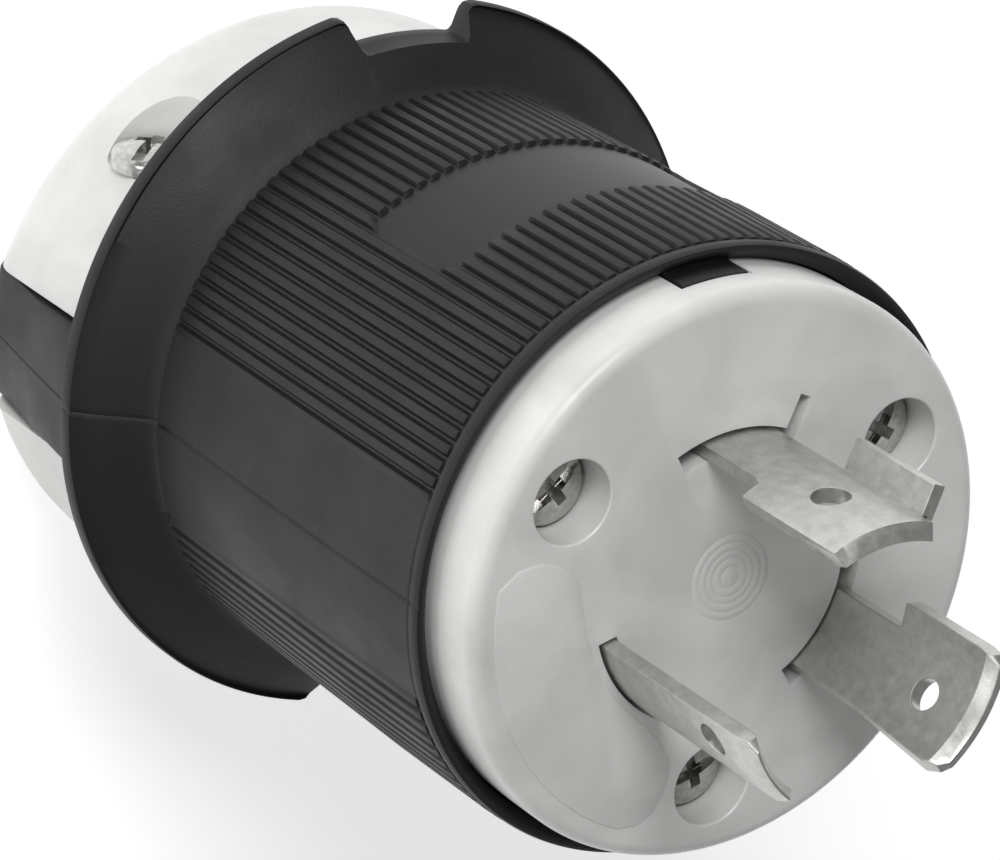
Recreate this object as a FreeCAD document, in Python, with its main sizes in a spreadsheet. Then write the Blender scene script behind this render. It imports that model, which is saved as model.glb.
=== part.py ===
import FreeCAD, Part
import math
import os
import re
import Sketcher

# Three-blade locking cord plug, 30 A size, standing on its cord end.
# Origin: on the plug's axis at the cord end. +Z runs towards the blades, +Y towards
# the ground blade and the label panel, +X to the right when the blades face the eye.

DOC = FreeCAD.newDocument("locking_plug")
Z_AXIS = FreeCAD.Vector(0, 0, 1)

# ---------------------------------------------------------------- driving dimensions
SIZES = {
    # grip shell
    "flange_back": 22.0,
    "flange_rim": 2.0,
    "flange_half_width": 35.5,
    "flange_half_height": 36.2,
    "flange_rise": 5.5,
    "grip_root_radius": 28.8,
    "grip_radius": 29.5,
    "grip_length": 52.4,
    "collar_drop": 0.6,
    "collar_length": 0.6,
    "collar_lip": 1.2,
    "shell_wall": 1.6,
    "web_thickness": 3.5,
    "cord_hole_radius": 14.5,
    "notch_angle": 21.0,
    "notch_depth": 2.9,
    "label_start": 53.7,
    "label_sweep": 72.6,
    "label_low": 21.4,
    "label_length": 14.3,
    "label_depth": 0.45,
    "arm_width": 13.4,
    "arm_tip_radius": 31.4,
    "arm_root_radius": 34.7,
    "post_radius": 4.2,
    "key_start": 86.0,
    "key_sweep": 14.7,
    "key_depth": 1.5,
    "key_length": 9.0,
    "key_rise": 2.0,
    # front face and rear body
    "face_stand": 5.7,
    "face_depth": 18.1,
    "face_round": 1.6,
    "face_clearance": 0.15,
    "rear_body_depth": 18.0,
    "rear_body_radius": 26.6,
    "chamber_width": 11.0,
    "chamber_height": 12.0,
    "chamber_rear_wall": 3.0,
    "wire_hole_radius": 2.8,
    # blades
    "blade_outer": 14.16,
    "blade_thickness": 1.5,
    "blade_slot_gap": 0.25,
    "blade_hole_radius": 1.6,
    "blade_hole_height": 16.0,
    "shoulder_height": 2.7,
    "shoulder_extra": 6.0,
    "line_blade_length": 22.8,
    "line_head_start": 9.6,
    "line_shank_sweep": 37.2,
    "line_head_step": 11.0,
    "line_x_start": -51.9,
    "line_x_flare": 4.5,
    "line_x_hole_angle": -32.8,
    "line_y_start": -162.5,
    "line_y_hole_angle": -151.2,
    "ground_length": 23.9,
    "ground_head_start": 8.0,
    "ground_start": 73.7,
    "ground_sweep": 33.8,
    "ground_head_step": 10.5,
    "ground_hole_angle": 96.0,
    "hook_low": 9.6,
    "hook_high": 21.1,
    "hook_reach": 17.1,
    "hook_angle": 70.2,
    # wire terminals
    "plate_gap": 1.0,
    "plate_thickness": 1.6,
    "plate_width": 8.6,
    "plate_height": 9.0,
    "terminal_screw_radius": 1.9,
    "terminal_head_radius": 3.7,
    "terminal_head_height": 2.2,
    "terminal_tip": 2.4,
    # face screws and their inserts
    "screw_circle": 20.6,
    "well_radius": 4.05,
    "well_depth": 5.6,
    "face_screw_radius": 1.95,
    "face_head_radius": 3.9,
    "face_head_height": 2.6,
    "insert_radius": 3.1,
    "insert_length": 12.0,
    "insert_engagement": 10.0,
    # cord clamp
    "jaw_low": 0.3,
    "jaw_radius": 34.1,
    "jaw_offset": 4.0,
    "jaw_round": 5.4,
    "jaw_half_width": 24.9,
    "jaw_part_gap": 0.5,
    "jaw_skirt_gap": 0.5,
    "jaw_front_gap": 0.4,
    "jaw_guide_gap": 0.3,
    "jaw_travel": 5.0,
    "groove_width": 24.0,
    "groove_depth": 5.6,
    "groove_round": 3.0,
    "tooth_height": 1.2,
    "tooth_width": 2.0,
    "tooth_pitch": 5.2,
    "clamp_screw_inset": 3.4,
    "clamp_screw_height": 13.8,
    "clamp_screw_radius": 2.4,
    "clamp_head_radius": 4.1,
    "clamp_head_height": 2.7,
    "clamp_seat": 19.3,
    "clamp_spot_gap": 0.5,
    "nut_flat_half": 4.0,
    "nut_height": 3.2,
    "nut_depth": 8.2,
    "thread_spare": 0.8,
    # dust seal
    "seal_radius": 15.8,
    "seal_thickness": 2.0,
    "seal_hole_radius": 6.5,
    # general clearances
    "running_gap": 0.08,
    "free_gap": 0.3,
    "drive_depth": 1.5,
    "drive_width": 1.2,
}

sheet = DOC.addObject("Spreadsheet::Sheet", "Sizes")
for row, (alias, value) in enumerate(SIZES.items(), start=1):
    sheet.set(f"A{row}", alias)
    sheet.set(f"B{row}", str(value))
    sheet.setAlias(f"B{row}", alias)
DOC.recompute()

# Heights and radii that several pieces share, as expressions on the sheet.
FLANGE_FRONT = "(flange_back + flange_rim)"
COLLAR = "(flange_back + flange_rim + grip_length)"
FACE = "(flange_back + flange_rim + grip_length + face_stand)"
BORE = "(grip_radius - shell_wall)"
DISC = f"({BORE} - face_clearance)"
FACE_BACK = f"({FACE} - face_depth)"
BODY_BACK = f"({FACE_BACK} - rear_body_depth)"
WEB_FRONT = "(flange_back + web_thickness)"
BLADE_INNER = "(blade_outer - blade_thickness)"
CHAMBER_LOW = f"({BODY_BACK} + chamber_rear_wall)"
CHAMBER_MID = f"({CHAMBER_LOW} + chamber_height / 2)"
PLATE_INNER = "(blade_outer + plate_gap)"
PLATE_OUTER = f"({PLATE_INNER} + plate_thickness)"
INSERT_TOP = BODY_BACK
ARM_INNER = "(jaw_half_width + jaw_guide_gap)"
JAW_TOP = "(flange_back - jaw_front_gap)"

SCREW_ANGLES = {"left": 150, "right": 30, "bottom": -90}
TERMINAL_ANGLES = {"ground": 90, "line_x": -30, "line_y": -150}


def on_sheet(text):
    """Point every dimension word of an expression at the sheet."""
    words = "|".join(sorted(SIZES, key=len, reverse=True))
    return re.sub(rf"\b({words})\b", r"Sizes.\1", str(text))


def bind(item, **values):
    for prop, text in values.items():
        item.setExpression(prop.replace("__", "."), on_sheet(text))


def place(item, x="0", y="0", z="0"):
    bind(item, Placement__Base__x=x, Placement__Base__y=y, Placement__Base__z=z)


def turned(axis, degrees):
    return FreeCAD.Placement(FreeCAD.Vector(), FreeCAD.Rotation(axis, degrees))


def cylinder(name, radius, low, high, x="0", y="0", start=None, sweep=None):
    """An upright cylinder, or a wedge of one between two angles."""
    item = DOC.addObject("Part::Cylinder", name)
    bind(item, Radius=radius, Height=f"{high} - {low}")
    if sweep is not None:
        item.Placement = turned(Z_AXIS, 1)
        bind(item, Angle=sweep, Placement__Rotation__Angle=start)
    place(item, x, y, low)
    return item


def lying_cylinder(name, radius, low, high, x, z):
    """A cylinder along +Y from low to high."""
    item = DOC.addObject("Part::Cylinder", name)
    item.Placement = turned(FreeCAD.Vector(1, 0, 0), -90)
    bind(item, Radius=radius, Height=f"{high} - ({low})")
    place(item, x, low, z)
    return item


def box(name, x_low, x_high, y_low, y_high, z_low, z_high):
    item = DOC.addObject("Part::Box", name)
    bind(item, Length=f"{x_high} - ({x_low})", Width=f"{y_high} - ({y_low})",
         Height=f"{z_high} - ({z_low})")
    place(item, x_low, y_low, z_low)
    return item


def cone(name, low_radius, high_radius, low, high):
    item = DOC.addObject("Part::Cone", name)
    bind(item, Radius1=low_radius, Radius2=high_radius, Height=f"{high} - {low}")
    place(item, z=low)
    return item


def fuse(name, *items):
    item = DOC.addObject("Part::MultiFuse", name)
    item.Shapes = list(items)
    return item


def cut(name, base, *tools):
    item = DOC.addObject("Part::Cut", name)
    item.Base = base
    item.Tool = tools[0] if len(tools) == 1 else fuse(name + "_tools", *tools)
    return item


def common(name, *items):
    item = DOC.addObject("Part::MultiCommon", name)
    item.Shapes = list(items)
    return item


def sector(name, outer, inner, low, high, start, sweep):
    """Part of a ring between two radii, two heights and two angles."""
    wedge = cylinder(name + "_wedge", outer, low, high, start=start, sweep=sweep)
    core = cylinder(name + "_core", inner, low, high)
    return cut(name, wedge, core)


def polar(radius, angle):
    return f"{radius} * cos({angle} * 1 deg)", f"{radius} * sin({angle} * 1 deg)"


def radial_box(name, inner, outer, half_width, low, high, angle):
    """A box that runs outwards along a radius at an angle about the axis."""
    item = DOC.addObject("Part::Box", name)
    item.Placement = turned(Z_AXIS, 1)
    bind(item, Length=f"{outer} - {inner}", Width=f"2 * ({half_width})", Height=f"{high} - {low}",
         Placement__Rotation__Angle=angle)
    across = f"({angle} * 1 deg)"
    place(item, f"{inner} * cos{across} + ({half_width}) * sin{across}",
          f"{inner} * sin{across} - ({half_width}) * cos{across}", low)
    return item


def origin_plane(body, role):
    return next(f for f in body.Origin.OriginFeatures if f.Role == role)


def revolved_body(name, outline):
    """A body turned about Z from a closed outline of (radius, height) expressions."""
    body = DOC.addObject("PartDesign::Body", name)
    sketch = body.newObject("Sketcher::SketchObject", name + "_outline")
    sketch.AttachmentSupport = (origin_plane(body, "XZ_Plane"), "")
    sketch.MapMode = "FlatFace"
    DOC.recompute()
    count = len(outline)
    corners = []
    for radius, height in outline:
        values = [sheet_value(radius), sheet_value(height)]
        corners.append(FreeCAD.Vector(values[0], values[1], 0))
    for index in range(count):
        sketch.addGeometry(Part.LineSegment(corners[index], corners[(index + 1) % count]))
    for index in range(count):
        sketch.addConstraint(Sketcher.Constraint("Coincident", index, 2, (index + 1) % count, 1))
    for index, (radius, height) in enumerate(outline):
        for kind, value, text in (("DistanceX", corners[index].x, radius),
                                  ("DistanceY", corners[index].y, height)):
            number = sketch.addConstraint(Sketcher.Constraint(kind, -1, 1, index, 1, value))
            sketch.setExpression(f"Constraints[{number}]", on_sheet(text))
    turn = body.newObject("PartDesign::Revolution", name + "_turn")
    turn.Profile = sketch
    turn.ReferenceAxis = (sketch, ["V_Axis"])
    turn.Angle = 360
    DOC.recompute()
    return body


def sheet_value(text):
    """The number that an expression on the sheet has now."""
    probe = DOC.addObject("App::FeaturePython", "Probe")
    probe.addProperty("App::PropertyFloat", "Value")
    probe.setExpression("Value", on_sheet(text))
    DOC.recompute([probe])
    value = probe.Value
    DOC.removeObject(probe.Name)
    return value


def rounded_disc(name, radius, low, high, rounding, round_low, y="0"):
    """A disc with one edge rounded: the lower one, or else the upper one."""
    body = revolved_body(name, [("0", low), (radius, low), (radius, high), ("0", high)])
    level = sheet_value(low if round_low else high)
    turn = body.Tip
    rim = next(number for number, edge in enumerate(turn.Shape.Edges, start=1)
               if abs(edge.BoundBox.ZMin - level) < 1e-6 and edge.BoundBox.ZLength < 1e-6
               and isinstance(edge.Curve, Part.Circle))
    fillet = body.newObject("PartDesign::Fillet", name + "_rounding")
    fillet.Base = (turn, [f"Edge{rim}"])
    bind(fillet, Radius=rounding)
    place(body, y=y)
    DOC.recompute()
    return body


# ------------------------------------------------------------------------ grip shell
# One black moulding: a tube with a thin oval flange, a web across it behind the wiring
# space, two arms that guide the clamp jaws, three screw posts and a key for the face.
def grip_shell():
    tube = revolved_body("shell_tube", [
        ("cord_hole_radius", "flange_back"),
        ("flange_half_height", "flange_back"),
        ("flange_half_height", FLANGE_FRONT),
        ("grip_root_radius", f"{FLANGE_FRONT} + flange_rise"),
        ("grip_radius", f"{FLANGE_FRONT} + grip_length / 2"),
        ("grip_radius", f"{COLLAR} - collar_length"),
        ("grip_radius - collar_drop", COLLAR),
        (BORE, f"{COLLAR} - collar_lip"),
        (BORE, WEB_FRONT),
        ("cord_hole_radius", WEB_FRONT),
    ])
    arm_form = cone("arm_form", "arm_tip_radius", "arm_root_radius", "0", "flange_back")
    arm_right = box("arm_right_block", ARM_INNER, "flange_half_width",
                    "-arm_width / 2", "arm_width / 2", "0", "flange_back")
    arm_left = box("arm_left_block", "-flange_half_width", f"-{ARM_INNER}",
                   "-arm_width / 2", "arm_width / 2", "0", "flange_back")
    arms = common("shell_arms", arm_form, fuse("arm_blocks", arm_right, arm_left))
    solids = [tube, arms]
    pockets = []
    for side, angle in SCREW_ANGLES.items():
        x, y = polar("screw_circle", angle)
        solids.append(cylinder(f"post_{side}", "post_radius", WEB_FRONT, INSERT_TOP, x, y))
        solids.append(radial_box(f"post_rib_{side}", "screw_circle", f"({BORE} + shell_wall / 2)",
                                 "shell_wall / 2", WEB_FRONT, INSERT_TOP, angle))
        pockets.append(cylinder(f"insert_pocket_{side}", "insert_radius",
                                f"({INSERT_TOP} - insert_length)", INSERT_TOP, x, y))
    key_low, key_high = f"({COLLAR} - key_length)", f"({COLLAR} + key_rise)"
    key_inner = f"({BORE} - key_depth)"
    solids.append(sector("shell_key", BORE, key_inner, key_low, key_high,
                         "key_start", "key_sweep"))
    solids.append(sector("shell_key_root", f"({BORE} + shell_wall / 2)", key_inner, key_low,
                         f"({COLLAR} - collar_lip)", "key_start", "key_sweep"))
    whole = fuse("shell_whole", *solids)
    notch_radius = "(flange_half_height - notch_depth)"
    for side, middle in (("top", 90), ("bottom", -90)):
        pockets.append(sector(f"flange_notch_{side}", "2 * flange_half_height", notch_radius,
                              "(flange_back - 1)", f"({FLANGE_FRONT} + flange_rise)",
                              f"{middle} - notch_angle / 2", "notch_angle"))
    label_low = f"({FLANGE_FRONT} + label_low)"
    pockets.append(sector("label_recess", "flange_half_height", "(grip_radius - label_depth)",
                          label_low, f"({label_low} + label_length)", "label_start", "label_sweep"))
    trimmed = cut("shell_trimmed", whole, *pockets)
    oval = DOC.addObject("Part::Ellipse", "flange_oval")
    oval.Placement = turned(Z_AXIS, 90)
    bind(oval, MajorRadius="flange_half_height", MinorRadius="flange_half_width")
    prism = DOC.addObject("Part::Extrusion", "flange_prism")
    prism.Base = oval
    prism.DirMode = "Custom"
    prism.Dir = Z_AXIS
    prism.Solid = True
    prism.FaceMakerClass = "Part::FaceMakerBullseye"
    bind(prism, LengthFwd=COLLAR)
    return common("grip_shell", trimmed, prism)


# ----------------------------------------------------------------- blades and bodies
# Each blade is a curved strip about the plug's axis. Its shank comes through the face,
# its head steps sideways to lock, and its shoulders are held under the face.
BLADE_SHAPES = {
    "ground": {
        "start": "ground_start", "sweep": "ground_sweep", "step": "ground_head_step",
        "head": "ground_head_start", "length": "ground_length", "extra": "0",
        "hole": "ground_hole_angle",
    },
    "line_x": {
        "start": "line_x_start", "sweep": "line_shank_sweep", "step": "line_head_step",
        "head": "line_head_start", "length": "line_blade_length", "extra": "line_x_flare",
        "hole": "line_x_hole_angle",
    },
    "line_y": {
        "start": "line_y_start", "sweep": "line_shank_sweep", "step": "line_head_step",
        "head": "line_head_start", "length": "line_blade_length", "extra": "0",
        "hole": "line_y_hole_angle",
    },
}


def terminal_bore(name, angle, radius, inner, outer):
    """A round hole or shank along a terminal's radius."""
    item = DOC.addObject("Part::Cylinder", name)
    direction = FreeCAD.Vector(math.cos(math.radians(angle)), math.sin(math.radians(angle)), 0)
    item.Placement = FreeCAD.Placement(FreeCAD.Vector(), FreeCAD.Rotation(Z_AXIS, direction))
    x, y = polar(inner, angle)
    bind(item, Radius=radius, Height=f"{outer} - {inner}")
    place(item, x, y, CHAMBER_MID)
    return item


def blade(kind):
    form = BLADE_SHAPES[kind]
    name = f"{kind}_blade"
    angle = TERMINAL_ANGLES[kind]
    tip = f"({FACE} + {form['length']})"
    head_low = f"({FACE} + {form['head']})"
    pieces = [
        sector(name + "_shank", "blade_outer", BLADE_INNER, CHAMBER_LOW, tip,
               form["start"], form["sweep"]),
        sector(name + "_head", "blade_outer", BLADE_INNER, head_low, tip,
               f"{form['start']} - {form['extra']}",
               f"{form['sweep']} + {form['step']} + {form['extra']}"),
        sector(name + "_shoulder", "blade_outer", BLADE_INNER,
               f"({FACE_BACK} - shoulder_height)", FACE_BACK,
               f"{form['start']} - shoulder_extra", f"{form['sweep']} + 2 * shoulder_extra"),
    ]
    if kind == "ground":
        pieces.append(radial_box(name + "_hook", BLADE_INNER, "hook_reach", "blade_thickness / 2",
                                 f"({FACE} + hook_low)", f"({FACE} + hook_high)", "hook_angle"))
        pieces.append(sector(name + "_hook_root", "blade_outer", BLADE_INNER,
                             f"({FACE} + hook_low)", f"({FACE} + hook_high)", "hook_angle",
                             "ground_start - hook_angle + 1"))
    hole = DOC.addObject("Part::Cylinder", name + "_hole")
    hole_angle = SIZES[form["hole"]]
    outwards = FreeCAD.Vector(math.cos(math.radians(hole_angle)),
                              math.sin(math.radians(hole_angle)), 0)
    hole.Placement = FreeCAD.Placement(FreeCAD.Vector(), FreeCAD.Rotation(Z_AXIS, outwards))
    bind(hole, Radius="blade_hole_radius", Height="blade_outer * 2")
    place(hole, z=f"{FACE} + blade_hole_height")
    thread = terminal_bore(name + "_thread", angle, "terminal_screw_radius + running_gap",
                           "(blade_outer / 2)", "(blade_outer + 1)")
    return cut(name, fuse(name + "_strip", *pieces), hole, thread)


def blade_slot(kind, low, high, gap):
    """The opening that lets a whole blade, head and all, through the face."""
    form = BLADE_SHAPES[kind]
    name = f"{kind}_slot"
    slots = [sector(name, f"(blade_outer + {gap})", f"({BLADE_INNER} - {gap})", low, high,
                    f"{form['start']} - {form['extra']} - 1",
                    f"{form['sweep']} + {form['step']} + {form['extra']} + 2")]
    if kind == "ground":
        slots.append(radial_box(name + "_hook", f"({BLADE_INNER} - {gap})", f"(hook_reach + {gap})",
                                f"blade_thickness / 2 + {gap}", low, high, "hook_angle"))
    return slots


# The white face carries the blades. It is a thick disc with a rounded front edge, a
# slot for each blade, a well for each screw and a notch for the shell's key.
def front_face():
    disc = rounded_disc("face_disc", DISC, FACE_BACK, FACE, "face_round", round_low=False)
    tools = []
    for side, angle in SCREW_ANGLES.items():
        x, y = polar("screw_circle", angle)
        tools.append(cylinder(f"well_{side}", "well_radius", f"({FACE} - well_depth)",
                              f"({FACE} + 1)", x, y))
        tools.append(cylinder(f"face_hole_{side}", "face_screw_radius + free_gap", FACE_BACK,
                              FACE, x, y))
    for kind in BLADE_SHAPES:
        tools.extend(blade_slot(kind, FACE_BACK, f"({FACE} + 1)", "blade_slot_gap"))
    tools.append(sector("key_notch", f"({BORE} + 1)", f"({BORE} - key_depth - face_clearance)",
                        f"({COLLAR} - key_length - face_clearance)",
                        f"({COLLAR} + key_rise + face_clearance)",
                        "key_start - 0.8", "key_sweep + 1.6"))
    return cut("front_face", disc, *tools)


# The rear body backs the face. It has a chamber for each terminal, open to the side for
# the screwdriver, a wire hole from behind, and clearance for the long screws.
def rear_body():
    block = cylinder("rear_block", "rear_body_radius", BODY_BACK, FACE_BACK)
    tools = []
    for kind, angle in TERMINAL_ANGLES.items():
        form = BLADE_SHAPES[kind]
        tools.append(radial_box(f"{kind}_chamber", f"({BLADE_INNER} - terminal_tip - 1)",
                                "(rear_body_radius + 1)", "chamber_width / 2", CHAMBER_LOW,
                                f"({CHAMBER_LOW} + chamber_height)", angle))
        x, y = polar("(blade_outer + wire_hole_radius)", angle)
        tools.append(cylinder(f"{kind}_wire_hole", "wire_hole_radius", BODY_BACK,
                              f"({CHAMBER_LOW} + 1)", x, y))
        tools.append(sector(f"{kind}_strip_way", "(blade_outer + blade_slot_gap)",
                            f"({BLADE_INNER} - blade_slot_gap)", CHAMBER_LOW,
                            FACE_BACK, f"{form['start']} - 1", f"{form['sweep']} + 2"))
        tools.append(sector(f"{kind}_shoulder_seat", "(blade_outer + blade_slot_gap)",
                            f"({BLADE_INNER} - blade_slot_gap)",
                            f"({FACE_BACK} - shoulder_height)", FACE_BACK,
                            f"{form['start']} - shoulder_extra - 1",
                            f"{form['sweep']} + 2 * shoulder_extra + 2"))
    for side, angle in SCREW_ANGLES.items():
        x, y = polar("screw_circle", angle)
        tools.append(cylinder(f"body_hole_{side}", "face_screw_radius + free_gap", BODY_BACK,
                              FACE_BACK, x, y))
    return cut("rear_body", block, *tools)


# ------------------------------------------------------------------------- terminals
# A plate under each screw's head clamps the wire on the blade's strip. The screw turns
# in the plate and its thread is cut in the strip, so plate and screw travel together.
def clamp_plate(kind):
    angle = TERMINAL_ANGLES[kind]
    name = f"{kind}_clamp_plate"
    slab = radial_box(name + "_slab", PLATE_INNER, PLATE_OUTER, "plate_width / 2",
                      f"({CHAMBER_MID} - plate_height / 2)",
                      f"({CHAMBER_MID} + plate_height / 2)", angle)
    hole = terminal_bore(name + "_hole", angle, "terminal_screw_radius + running_gap",
                         f"({PLATE_INNER} - 1)", f"({PLATE_OUTER} + 1)")
    return cut(name, slab, hole)


def terminal_screw(kind):
    angle = TERMINAL_ANGLES[kind]
    name = f"{kind}_terminal_screw"
    seat = f"({PLATE_OUTER} + running_gap)"
    top = f"({seat} + terminal_head_height)"
    shank = terminal_bore(name + "_shank", angle, "terminal_screw_radius",
                          f"({BLADE_INNER} - terminal_tip)", f"({seat} + 0.5)")
    head = terminal_bore(name + "_head", angle, "terminal_head_radius", seat, top)
    slot = radial_box(name + "_slot", f"({top} - drive_depth)", f"({top} + 1)", "drive_width / 2",
                      f"({CHAMBER_MID} - terminal_head_radius - 1)",
                      f"({CHAMBER_MID} + terminal_head_radius + 1)", angle)
    return cut(name, fuse(name + "_blank", shank, head), slot)


# ------------------------------------------------------- face screws and their inserts
# Three long screws pull the face and rear body down on the shell's posts. Each runs in
# a brass insert moulded into its post.
def face_screw(side):
    name = f"face_screw_{side}"
    x, y = polar("screw_circle", SCREW_ANGLES[side])
    seat = f"({FACE} - well_depth)"
    top = f"({seat} + face_head_height)"
    shank = cylinder(name + "_shank", "face_screw_radius",
                     f"({INSERT_TOP} - insert_engagement)", f"({seat} + 0.5)", x, y)
    head = cylinder(name + "_head", "face_head_radius", seat, top, x, y)
    slot = box(name + "_slot", f"{x} - face_head_radius - 1", f"({x} + face_head_radius + 1)",
               f"{y} - drive_width / 2", f"({y} + drive_width / 2)",
               f"{top} - drive_depth", f"({top} + 1)")
    return cut(name, fuse(name + "_blank", shank, head), slot)


def screw_insert(side):
    name = f"screw_insert_{side}"
    x, y = polar("screw_circle", SCREW_ANGLES[side])
    low = f"({INSERT_TOP} - insert_length)"
    barrel = cylinder(name + "_barrel", "insert_radius", low, INSERT_TOP, x, y)
    thread = cylinder(name + "_thread", "face_screw_radius + running_gap", low,
                      f"({INSERT_TOP} + 1)", x, y)
    return cut(name, barrel, thread)


# ------------------------------------------------------------------------ cord clamp
# Two white jaws slide towards each other between the shell's arms. Their outer faces are
# arcs of the same cylinder, brought nearer the axis by the offset when they are shut.
def jaw_blank(name):
    low = "jaw_low"
    outer = rounded_disc(name + "_outer", "jaw_radius", low, JAW_TOP, "jaw_round",
                         round_low=True, y="-jaw_offset")
    middle = box(name + "_middle", "-jaw_half_width", "jaw_half_width", "jaw_part_gap",
                 "jaw_radius", low, JAW_TOP)
    skirt = box(name + "_skirt", "-jaw_radius", "jaw_radius",
                "(arm_width / 2 + jaw_skirt_gap)", "jaw_radius", low, JAW_TOP)
    solid = common(name + "_solid", outer, fuse(name + "_limits", middle, skirt))
    flat = "(groove_depth - groove_round)"
    wide = "(groove_width / 2)"
    narrow = "(groove_width / 2 - groove_round)"
    tools = [
        box(name + "_groove_wide", f"-{wide}", wide, "-1", flat, "-1", "flange_back"),
        box(name + "_groove_deep", f"-{narrow}", narrow, "-1", "groove_depth", "-1",
            "flange_back"),
        cylinder(name + "_groove_left", "groove_round", "(0 - 1)", "flange_back",
                 f"-{narrow}", flat),
        cylinder(name + "_groove_right", "groove_round", "(0 - 1)", "flange_back", narrow, flat),
    ]
    return solid, tools


def jaw_teeth(name):
    """Three blunt ribs across the groove that bite the cord's jacket."""
    teeth = []
    for index in (-1, 0, 1):
        middle = f"(({JAW_TOP} + jaw_low) / 2 + {index} * tooth_pitch)"
        teeth.append(box(f"{name}_tooth_{index + 2}", "-groove_width / 2", "groove_width / 2",
                         "(groove_depth - tooth_height)", "(groove_depth + 0.5)",
                         f"{middle} - tooth_width / 2", f"({middle} + tooth_width / 2)"))
    return teeth


CLAMP_X = "(jaw_half_width - clamp_screw_inset)"
CLAMP_SIDES = {"left": f"-{CLAMP_X}", "right": CLAMP_X}


def upper_jaw():
    solid, tools = jaw_blank("upper_jaw_blank")
    for side, x in CLAMP_SIDES.items():
        tools.append(lying_cylinder(f"upper_hole_{side}", "clamp_screw_radius + running_gap",
                                    "0", "clamp_seat", x, "clamp_screw_height"))
        tools.append(lying_cylinder(f"upper_spot_{side}", "clamp_head_radius + clamp_spot_gap",
                                    "clamp_seat", "jaw_radius", x, "clamp_screw_height"))
    return fuse("upper_jaw", cut("upper_jaw_cut", solid, *tools), *jaw_teeth("upper"))


def hex_prism(name, x, low, high):
    item = DOC.addObject("Part::Prism", name)
    item.Polygon = 6
    item.Placement = turned(FreeCAD.Vector(1, 0, 0), -90)
    bind(item, Circumradius="nut_flat_half / cos(30 deg)", Height=f"{high} - {low}")
    place(item, x, low, "clamp_screw_height")
    return item


# The lower jaw is built above the axis like the upper one and then turned over.
def lower_jaw():
    solid, tools = jaw_blank("lower_jaw_blank")
    for side, x in CLAMP_SIDES.items():
        tools.append(lying_cylinder(f"lower_hole_{side}", "clamp_screw_radius + free_gap",
                                    "0", "nut_depth", x, "clamp_screw_height"))
        tools.append(hex_prism(f"nut_pocket_{side}", x, "nut_depth", "jaw_radius"))
    blank = fuse("lower_jaw_up", cut("lower_jaw_cut", solid, *tools), *jaw_teeth("lower"))
    turned_over = DOC.addObject("Part::Mirroring", "lower_jaw")
    turned_over.Source = blank
    turned_over.Normal = FreeCAD.Vector(0, 1, 0)
    return turned_over


# Clamp screws hang from the upper jaw by their heads and run in hexagon nuts that sit in
# pockets of the lower jaw. Each is long enough to stay in its nut with the jaws wide open.
def clamp_screw(side):
    name = f"clamp_screw_{side}"
    x = CLAMP_SIDES[side]
    seat = "(clamp_seat + running_gap)"
    top = f"({seat} + clamp_head_height)"
    tip = "-(nut_depth + nut_height + 2 * jaw_travel + thread_spare)"
    shank = lying_cylinder(name + "_shank", "clamp_screw_radius", tip, f"({seat} + 0.5)",
                           x, "clamp_screw_height")
    head = lying_cylinder(name + "_head", "clamp_head_radius", seat, top, x,
                          "clamp_screw_height")
    slot = box(name + "_slot", f"{x} - clamp_head_radius - 1", f"({x} + clamp_head_radius + 1)",
               f"{top} - drive_depth", f"({top} + 1)",
               "clamp_screw_height - drive_width / 2", "(clamp_screw_height + drive_width / 2)")
    return cut(name, fuse(name + "_blank", shank, head), slot)


def clamp_nut(side):
    name = f"clamp_nut_{side}"
    x = CLAMP_SIDES[side]
    low = "-(nut_depth + nut_height)"
    body = hex_prism(name + "_body", x, low, "(0 - nut_depth)")
    thread = lying_cylinder(name + "_thread", "clamp_screw_radius + running_gap",
                            f"{low} - 1", "0", x, "clamp_screw_height")
    return cut(name, body, thread)


# A rubber washer on the web closes round the cord and keeps dust out of the wiring space.
def dust_seal():
    return revolved_body("dust_seal", [
        ("seal_hole_radius", WEB_FRONT),
        ("seal_radius", WEB_FRONT),
        ("seal_radius", f"{WEB_FRONT} + seal_thickness"),
        ("seal_hole_radius", f"{WEB_FRONT} + seal_thickness"),
    ])


# -------------------------------------------------------------------------- the parts
nodes = [grip_shell(), front_face(), rear_body(), upper_jaw(), lower_jaw(), dust_seal()]
for kind in BLADE_SHAPES:
    nodes += [blade(kind), clamp_plate(kind), terminal_screw(kind)]
for side in SCREW_ANGLES:
    nodes += [face_screw(side), screw_insert(side)]
for side in CLAMP_SIDES:
    nodes += [clamp_screw(side), clamp_nut(side)]

DOC.recompute()
failed = [item.Name for item in DOC.Objects if {"Invalid", "Error"} & set(item.State)]
if failed:
    raise RuntimeError(f"failed features: {failed}")
for node in nodes:
    node.Label = node.Name
    if node.Shape.isNull() or not node.Shape.isValid():
        raise RuntimeError(f"bad shape: {node.Name}")
    print(f"{node.Name:26s} {len(node.Shape.Solids)} solid  {node.Shape.Volume:10.1f} mm3")

os.makedirs("parts", exist_ok=True)
for node in nodes:
    node.Shape.exportStep(f"parts/{node.Label}.step")
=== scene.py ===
import bmesh
import bpy
import math
from mathutils import Matrix, Vector


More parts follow.
